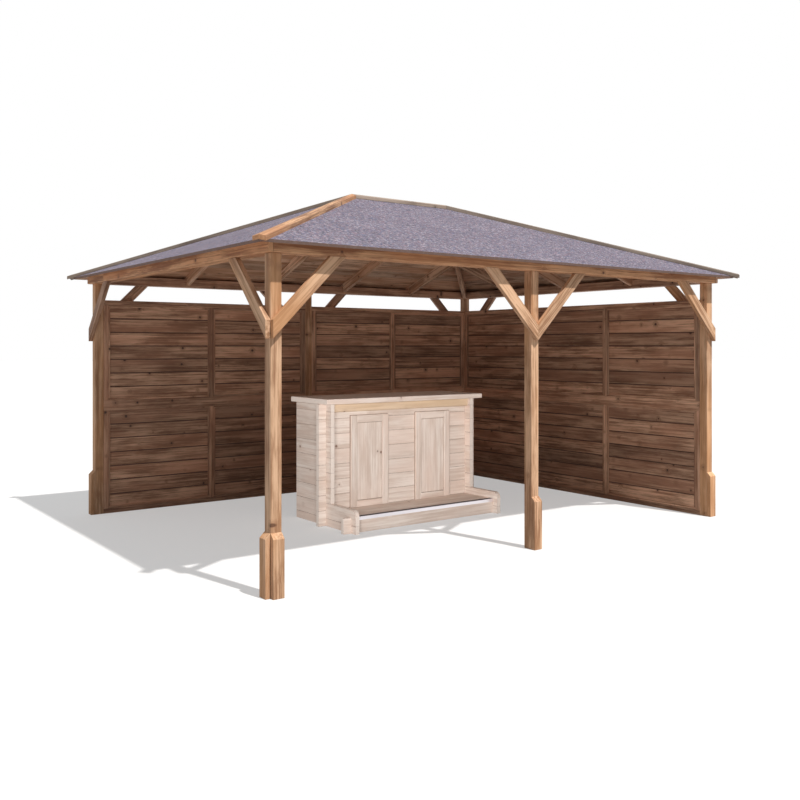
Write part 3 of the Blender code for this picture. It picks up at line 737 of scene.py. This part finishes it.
def dress_caps():
    """Two boards on each hip and on the ridge; the front right hip's are in two lengths."""
    for name, (sx, sy) in CORNERS.items():
        corner = Vector((sx * HALF_X, sy * HALF_Y, 0))
        inward = Vector((-sx, -sy, 0)).normalized()
        finish = "cap" if name == "front_left" else "grey_cap"
        cap = Piece("dressed_hip_cap_" + name, finish, "hip_cap_" + name)
        for board in split(node_solid("hip_cap_" + name), [(corner, UP.cross(inward))]):
            lengths = [board]
            if name == "front_right":
                lengths = split(board, [(corner + inward * CAP_JOINT, inward)])
            for length in lengths:
                cap.add(length, EASED_CAP)
        cap.done()
    cap = Piece("dressed_ridge_cap", "pale_cap", "ridge_cap")
    for board in split(node_solid("ridge_cap"), [(Vector(), Vector((0, 1, 0)))]):
        cap.add(board, EASED_CAP)
    cap.done()


# Panelled walls

def dress_wall(name, along, outward, fields):
    """Rails with stiles between them, and a bead round the boards of each field.

    Thin tongues painted dark all over close the joints between the boards, as painted shade in the
    joints; the boards' arrises are painted a little dark as well.
    """
    low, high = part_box("wall_" + name)
    start = Vector((low.x, low.y, 0))
    length = (high - low).dot(along)
    wall = Piece("dressed_wall_" + name, "wall", "wall_" + name)

    def lay(row, a, z, d, upright, rounding, edge=WORN):
        origin = start + along * a + UP * z + outward * d
        if upright:
            turned(row, origin, UP, along, outward)
        else:
            turned(row, origin, along, UP, outward)
        wall.add(row, rounding, edge)

    for z, height in ((0.0, RAIL), (MID_RAIL[0], MID_RAIL[1] - MID_RAIL[0]), (WALL_H - RAIL, RAIL)):
        lay(plank_row(length, height, WALL_T), 0, z, 0, False, EASED_PANEL)
    pitch = (length - STILE) / fields
    far = BEAD_SETBACK + BEAD_T
    for bottom, top in ((RAIL, MID_RAIL[0]), (MID_RAIL[1], WALL_H - RAIL)):
        tall = top - bottom
        for k in range(fields + 1):
            lay(plank_row(tall, STILE, WALL_T), pitch * k, bottom, 0, True, EASED_PANEL)
        for k in range(fields):
            left = pitch * k + STILE
            wide = pitch - STILE
            count = round(tall / WALL_BOARD)
            board = tall / count
            # The boards' arrises are painted a little dark: painted shade in the joints
            lay(plank_row(wide, board - WALL_JOINT, WALL_BOARD_T, count, board),
                left, bottom + WALL_JOINT / 2, far, False, EASED_WALL_BOARD, PAINTED_SHADE_DIM)
            # Tongues painted dark all over fill the joints: painted shade
            lay(plank_row(wide, 3 * WALL_JOINT, WALL_BOARD_T / 2, count - 1, board),
                left, bottom + board - 1.5 * WALL_JOINT, far + WALL_BOARD_T / 3, False, 0, PAINTED_SHADE_DARK)
            for side in (left, left + wide - BEAD_W):
                lay(plank_row(tall - 2 * BEAD_W, BEAD_W, BEAD_T),
                    side, bottom + BEAD_W, BEAD_SETBACK, True, EASED_BEAD)
            for z in (bottom, top - BEAD_W):
                lay(plank_row(wide, BEAD_W, BEAD_T), left, z, BEAD_SETBACK, False, EASED_BEAD)
    wall.done()


# Log bar

def dress_log_wall(name, offset):
    """Stacked logs: the wall's solid sawn at its course joints, each log's arrises painted dark as
    shade in the joints.
    """
    wall = Piece("dressed_" + name, "bar", name)
    joints = [(k + offset) * LOG_H for k in range(LOG_COURSES + 1)]
    top = LOG_COURSES * LOG_H
    planes = [(Vector((0, 0, z)), UP) for z in joints if SAME_HEIGHT < z < top - SAME_HEIGHT]
    for log in split(node_solid(name), planes):
        wall.add(log, EASED_BAR, PAINTED_SHADE_DARK)
    wall.done()


def dress_bar_panel(name):
    """A frame of four members round an inset board with a bevelled edge.

    A thin backing painted dark all over shows as a painted shadow line at the frame's left and
    upper edges.
    """
    low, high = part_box(name)
    panel = Piece("dressed_" + name, "bar", name)
    wide = high.x - low.x
    tall = high.z - low.z
    face = Vector((0, -1, 0))
    across = Vector((1, 0, 0))

    def lay(row, x, z, upright, rounding, edge=WORN):
        origin = Vector((low.x + x, high.y, low.z + z))
        axes = (UP, across) if upright else (across, UP)
        panel.add(turned(row, origin, *axes, face), rounding, edge)

    thick = FRAME_T - GAP
    narrow = FRAME_MEMBER - SHADOW_LINE
    # The backing is painted dark all over: a painted shadow line
    lay(plank_row(tall, wide, PANEL_BACK_T), 0, 0, True, 0, PAINTED_SHADE_DARK)
    for x in (SHADOW_LINE, wide - FRAME_MEMBER):
        lay(plank_row(tall - SHADOW_LINE, narrow, thick), x, 0, True, EASED_FRAME)
    inner = wide - 2 * FRAME_MEMBER
    lay(plank_row(inner, FRAME_RAIL, thick), FRAME_MEMBER, 0, False, EASED_FRAME)
    lay(plank_row(inner, narrow, thick), FRAME_MEMBER, tall - FRAME_MEMBER, False, EASED_FRAME)
    board = plank_row(tall - FRAME_RAIL - FRAME_MEMBER, inner, INSET_T - GAP)
    # The inset's bevelled edge is painted dark, as painted shade round the inside of the frame
    lay(board, FRAME_MEMBER, FRAME_RAIL, True, INSET_BEVEL, PAINTED_SHADE_DARK)
    panel.done()


def dress_step_deck():
    """Deck boards on their bearers."""
    low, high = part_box("step_deck")
    deck = Piece("dressed_step_deck", "bar", "step_deck")
    length = high.x - low.x
    board = (high.y - low.y) / STEP_BOARDS
    boards = plank_row(length, board - STEP_BOARD_GAP, STEP_DECK_T, STEP_BOARDS, board)
    boards.transform(Matrix.Translation((low.x, low.y, high.z - STEP_DECK_T)))
    deck.add(boards)
    spacing = (length - BEARER_T) / (STEP_BEARERS - 1)
    tall = high.z - STEP_DECK_T - low.z
    bearers = plank_row(high.y - low.y, BEARER_T, tall, STEP_BEARERS, spacing)
    turned(bearers, low, Vector((0, 1, 0)), Vector((1, 0, 0)), UP)
    deck.add(bearers, EASED_BEARER)
    deck.done()


def dress_nosing():
    """The folded steel, smooth over its bend, with its top face marked for the painted dark
    reflection.
    """
    nosing = Piece("dressed_step_nosing", "steel", "step_nosing")
    nosing.add(node_solid("step_nosing"), 0, marked=lambda face, grains: face.normal.z > 0.8)
    nosing.done().data.set_sharp_from_angle(angle=math.radians(35))


def dress_felt():
    """The felt, smooth over its folds, with the edge that hangs at the eaves marked."""
    felt = Piece("dressed_roof_felt", "felt", "roof_felt")
    felt.add(node_solid("roof_felt"), 0, marked=lambda face, grains: face.normal.z < 0.5)
    felt.done().data.set_sharp_from_angle(angle=math.radians(15))


# Floor, light and camera

FLOOR_REACH = 90.0
FLOOR_PLAIN = 0.42
FLOOR_SHOWN = 0.50
FLOOR_GLOW = 0.42

SUN_STRENGTH = 4.0
SUN_WIDTH = math.radians(1.2)
SUN_COLOUR = (1.0, 0.97, 0.93)
SUN_TOWARDS = (-0.105, 0.565, -1.0)
FILL_POWER = 370.0
FILL_COLOUR = (1.0, 0.98, 0.97)
FILL_PLACE = (-4.5, -5.15, 1.55)
FILL_TOWARDS = (4.1, 4.75, -0.6)
FILL_SIZE = (3.0, 1.1)
SKY_COLOUR = (0.95, 0.975, 1.0, 1)
SKY_STRENGTH = 0.34
WHITE = (1, 1, 1, 1)

CAMERA_PLACE = (-4.918, -6.669, 1.566)
CAMERA_HEADING = math.radians(-36.382)
CAMERA_SENSOR = 36.0
CAMERA_LENS = 40.0
CAMERA_SHIFT = -0.0669
CAMERA_REACH = 300.0


def shown_rays(tree):
    """One for rays that show a surface as it is: camera, glossy and transmission rays."""
    path = tree.nodes.new("ShaderNodeLightPath")
    camera, glossy, transmission = (Wire(tree, path.outputs["Is " + name + " Ray"])
                                    for name in ("Camera", "Glossy", "Transmission"))
    return camera.maths("MAXIMUM", glossy).maths("MAXIMUM", transmission)


def grey(level):
    return (level, level, level, 1)


def floor():
    """A pale floor that shows white where the sun reaches it and keeps the shadow."""
    ground = Finish("pale_floor")
    tree = ground.tree
    plain = ground.add("ShaderNodeBsdfDiffuse", {"Color": grey(FLOOR_PLAIN)})
    bright = ground.add("ShaderNodeBsdfDiffuse", {"Color": grey(FLOOR_SHOWN)})
    glow = ground.add("ShaderNodeEmission", {"Color": WHITE, "Strength": FLOOR_GLOW})
    lit = ground.add("ShaderNodeAddShader", {0: bright, 1: glow})
    surface = ground.add("ShaderNodeMixShader", {0: shown_rays(tree), 1: plain, 2: lit})
    tree.links.new(surface.socket, tree.nodes["Material Output"].inputs["Surface"])
    mesh = bpy.data.meshes.new("floor")
    r = FLOOR_REACH
    mesh.from_pydata([(-r, -r, 0), (r, -r, 0), (r, r, 0), (-r, r, 0)], [], [(0, 1, 2, 3)])
    mesh.materials.append(ground.material)
    made = bpy.data.objects.new("floor", mesh)
    bpy.context.scene.collection.objects.link(made)


def lamp(name, kind, strength, colour, place, towards):
    """A lamp at a place that shines the way that towards points."""
    data = bpy.data.lights.new(name, kind)
    data.energy = strength
    data.color = colour
    made = bpy.data.objects.new(name, data)
    bpy.context.scene.collection.objects.link(made)
    made.location = place
    made.rotation_euler = Vector(towards).to_track_quat("-Z", "Y").to_euler()
    return made


def light():
    """A sun from the right front, a pale sky, and a broad lamp that fills the shade at the bar."""
    sun = lamp("sun", "SUN", SUN_STRENGTH, SUN_COLOUR, (0, 0, 6), SUN_TOWARDS)
    sun.data.angle = SUN_WIDTH
    fill = lamp("fill", "AREA", FILL_POWER, FILL_COLOUR, FILL_PLACE, FILL_TOWARDS)
    fill.data.shape = "RECTANGLE"
    fill.data.size, fill.data.size_y = FILL_SIZE
    bar = bpy.data.collections.new("lit by the fill")
    for made in bpy.context.scene.objects:
        if made.name.startswith(("dressed_bar", "dressed_counter", "dressed_step")):
            bar.objects.link(made)
    fill.light_linking.receiver_collection = bar

    world = bpy.data.worlds.new("pale sky")
    bpy.context.scene.world = world
    world.use_nodes = True
    tree = world.node_tree
    tree.nodes.clear()
    sky = add(tree, "ShaderNodeBackground", {"Color": SKY_COLOUR, "Strength": SKY_STRENGTH})
    white = add(tree, "ShaderNodeBackground", {"Color": WHITE, "Strength": 1.0})
    both = add(tree, "ShaderNodeMixShader", {0: shown_rays(tree), 1: sky, 2: white})
    tree.links.new(both.socket, tree.nodes.new("ShaderNodeOutputWorld").inputs["Surface"])


def camera():
    """A level camera at eye height, left of the open front."""
    lens = bpy.data.cameras.new("camera")
    lens.sensor_width = CAMERA_SENSOR
    lens.lens = CAMERA_LENS
    lens.shift_y = CAMERA_SHIFT
    lens.clip_end = CAMERA_REACH
    made = bpy.data.objects.new("camera", lens)
    bpy.context.scene.collection.objects.link(made)
    made.location = CAMERA_PLACE
    made.rotation_euler = (math.radians(90), 0, CAMERA_HEADING)
    bpy.context.scene.camera = made


dress_plain_timbers()
dress_beams()
for side in SIDES:
    dress_roof_section(side)
dress_caps()
for bay in ("rear_left", "rear_right"):
    dress_wall(bay, SIDES["right"], SIDES["rear"], 2)
dress_wall("right", SIDES["rear"], SIDES["right"], 3)
dress_log_wall("bar_front_wall", 0.0)
for hand in ("left", "right"):
    dress_log_wall("bar_side_wall_" + hand, 0.5)
for hand in ("left", "right"):
    dress_bar_panel("bar_panel_" + hand)
dress_step_deck()
dress_nosing()
dress_felt()
floor()
light()
camera()
bpy.context.scene.view_settings.view_transform = "Standard"
